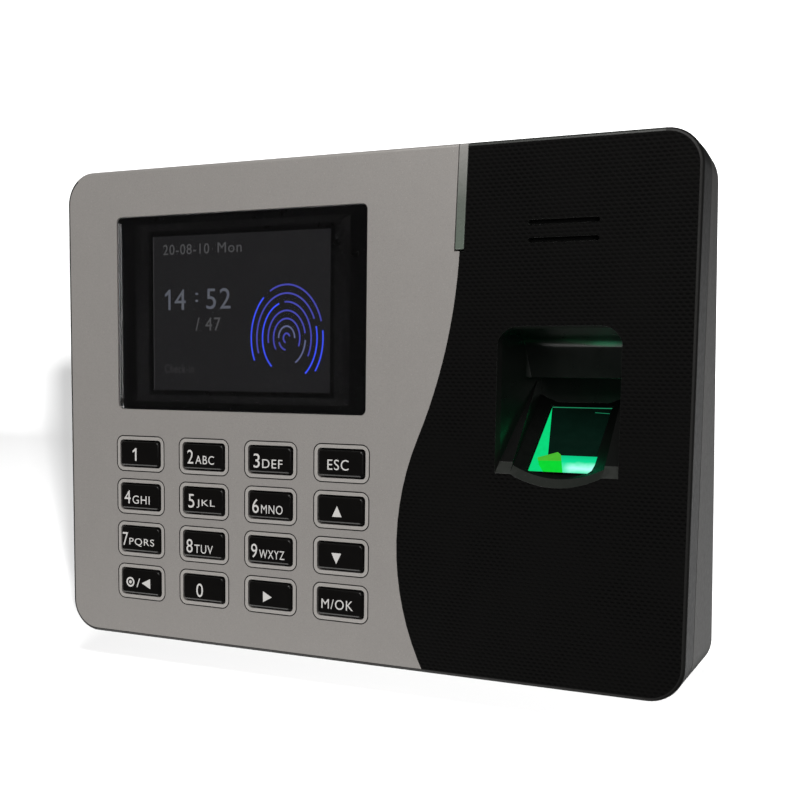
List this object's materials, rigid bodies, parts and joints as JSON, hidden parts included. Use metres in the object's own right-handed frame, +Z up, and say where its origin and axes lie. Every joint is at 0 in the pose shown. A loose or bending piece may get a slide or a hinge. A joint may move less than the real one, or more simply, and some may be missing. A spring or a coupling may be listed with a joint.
{
  "type": "fingerprint scanner terminal",
  "caption": "Wedge-shaped wall terminal with a colour screen, a keypad and a recessed optical finger sensor, hung on a steel wall plate.",
  "frame": {"origin": "centre of the wall bracket's four-screw pattern, on the wall plane", "axes": "+X to the right as seen by the user, +Y into the wall, +Z up"},
  "size_m": [0.183, 0.0422, 0.1393],
  "materials": {
    "black_shell": "fine moulded texture",
    "silver_paint": "metallic silver paint, satin",
    "rear_grey": "fine spark texture",
    "light_pipe": "satin translucent",
    "window_black": "polished",
    "screen_glass": "lit display panel",
    "key_black": "polished with white legends",
    "prism_glass": "polished, lit green from below",
    "steel": "zinc plated",
    "nickel": "bright plated",
    "board_green": "solder mask",
    "chip_black": "moulded",
    "ribbon": "flexible film",
    "silicone": "matt silicone",
    "foam": "open foam",
    "wire": "insulated wire",
    "switch_plastic": "plain"
  },
  "bodies": {
    "wall_mount": {"wall_bracket": "steel", "lock_screw": "nickel"},
    "terminal": {"front_shell": "black_shell", "faceplate": "silver_paint", "light_bar": "light_pipe", "screen_window": "window_black", "screen_gasket": "foam", "lcd_panel": "screen_glass", "lcd_tray": "steel", "lcd_ribbon": "ribbon", "keypad_mat": "silicone", "keypad_board": "board_green", "keypad_ribbon": "ribbon", "main_board": "board_green", "board_chips": "chip_black", "backup_battery": "nickel", "status_board": "board_green", "speaker": "steel", "speaker_mesh": "foam", "speaker_wires": "wire", "sensor_hood": "black_shell", "sensor_prism": "prism_glass", "sensor_housing": "chip_black", "sensor_leds": "board_green", "sensor_lens": "prism_glass", "sensor_board": "board_green", "sensor_ribbon": "ribbon", "rear_shell": "rear_grey", "usb_socket": "nickel", "network_socket": "nickel", "power_socket": "chip_black", "tamper_switch": "chip_black", "reset_switch": "chip_black", "case_screws": "nickel", "board_screws": "nickel", "keypad_screws": "nickel", "sensor_screws": "nickel"},
    "tamper_plunger": {"tamper_plunger": "switch_plastic"},
    "reset_button": {"reset_button": "switch_plastic"},
    "key_1": {"key_1": "key_black"},
    "key_2": {"key_2": "key_black"},
    "key_3": {"key_3": "key_black"},
    "key_esc": {"key_esc": "key_black"},
    "key_4": {"key_4": "key_black"},
    "key_5": {"key_5": "key_black"},
    "key_6": {"key_6": "key_black"},
    "key_up": {"key_up": "key_black"},
    "key_7": {"key_7": "key_black"},
    "key_8": {"key_8": "key_black"},
    "key_9": {"key_9": "key_black"},
    "key_down": {"key_down": "key_black"},
    "key_back": {"key_back": "key_black"},
    "key_0": {"key_0": "key_black"},
    "key_right": {"key_right": "key_black"},
    "key_ok": {"key_ok": "key_black"}
  },
  "joints": [
    {"name": "lift_off", "type": "slide", "parent": "wall_mount", "child": "terminal", "axis": [0, 0, 1], "range_m": [0, 0.006]},
    {"name": "press_1", "type": "slide", "parent": "terminal", "child": "key_1", "axis": [0, 0.9877, -0.1564], "range_m": [0, 0.0008], "stiffness_N_per_m": 900, "springref_m": -0.0004},
    {"name": "press_2", "type": "slide", "parent": "terminal", "child": "key_2", "axis": [0, 0.9877, -0.1564], "range_m": [0, 0.0008], "stiffness_N_per_m": 900, "springref_m": -0.0004},
    {"name": "press_3", "type": "slide", "parent": "terminal", "child": "key_3", "axis": [0, 0.9877, -0.1564], "range_m": [0, 0.0008], "stiffness_N_per_m": 900, "springref_m": -0.0004},
    {"name": "press_esc", "type": "slide", "parent": "terminal", "child": "key_esc", "axis": [0, 0.9877, -0.1564], "range_m": [0, 0.0008], "stiffness_N_per_m": 900, "springref_m": -0.0004},
    {"name": "press_4", "type": "slide", "parent": "terminal", "child": "key_4", "axis": [0, 0.9877, -0.1564], "range_m": [0, 0.0008], "stiffness_N_per_m": 900, "springref_m": -0.0004},
    {"name": "press_5", "type": "slide", "parent": "terminal", "child": "key_5", "axis": [0, 0.9877, -0.1564], "range_m": [0, 0.0008], "stiffness_N_per_m": 900, "springref_m": -0.0004},
    {"name": "press_6", "type": "slide", "parent": "terminal", "child": "key_6", "axis": [0, 0.9877, -0.1564], "range_m": [0, 0.0008], "stiffness_N_per_m": 900, "springref_m": -0.0004},
    {"name": "press_up", "type": "slide", "parent": "terminal", "child": "key_up", "axis": [0, 0.9877, -0.1564], "range_m": [0, 0.0008], "stiffness_N_per_m": 900, "springref_m": -0.0004},
    {"name": "press_7", "type": "slide", "parent": "terminal", "child": "key_7", "axis": [0, 0.9877, -0.1564], "range_m": [0, 0.0008], "stiffness_N_per_m": 900, "springref_m": -0.0004},
    {"name": "press_8", "type": "slide", "parent": "terminal", "child": "key_8", "axis": [0, 0.9877, -0.1564], "range_m": [0, 0.0008], "stiffness_N_per_m": 900, "springref_m": -0.0004},
    {"name": "press_9", "type": "slide", "parent": "terminal", "child": "key_9", "axis": [0, 0.9877, -0.1564], "range_m": [0, 0.0008], "stiffness_N_per_m": 900, "springref_m": -0.0004},
    {"name": "press_down", "type": "slide", "parent": "terminal", "child": "key_down", "axis": [0, 0.9877, -0.1564], "range_m": [0, 0.0008], "stiffness_N_per_m": 900, "springref_m": -0.0004},
    {"name": "press_back", "type": "slide", "parent": "terminal", "child": "key_back", "axis": [0, 0.9877, -0.1564], "range_m": [0, 0.0008], "stiffness_N_per_m": 900, "springref_m": -0.0004},
    {"name": "press_0", "type": "slide", "parent": "terminal", "child": "key_0", "axis": [0, 0.9877, -0.1564], "range_m": [0, 0.0008], "stiffness_N_per_m": 900, "springref_m": -0.0004},
    {"name": "press_right", "type": "slide", "parent": "terminal", "child": "key_right", "axis": [0, 0.9877, -0.1564], "range_m": [0, 0.0008], "stiffness_N_per_m": 900, "springref_m": -0.0004},
    {"name": "press_ok", "type": "slide", "parent": "terminal", "child": "key_ok", "axis": [0, 0.9877, -0.1564], "range_m": [0, 0.0008], "stiffness_N_per_m": 900, "springref_m": -0.0004},
    {"name": "tamper_press", "type": "slide", "parent": "terminal", "child": "tamper_plunger", "axis": [0, -1, 0], "range_m": [0, 0.001], "stiffness_N_per_m": 300, "springref_m": -0.0005},
    {"name": "reset_press", "type": "slide", "parent": "terminal", "child": "reset_button", "axis": [0, -1, 0], "range_m": [0, 0.0005], "stiffness_N_per_m": 600, "springref_m": -0.0005}
  ]
}
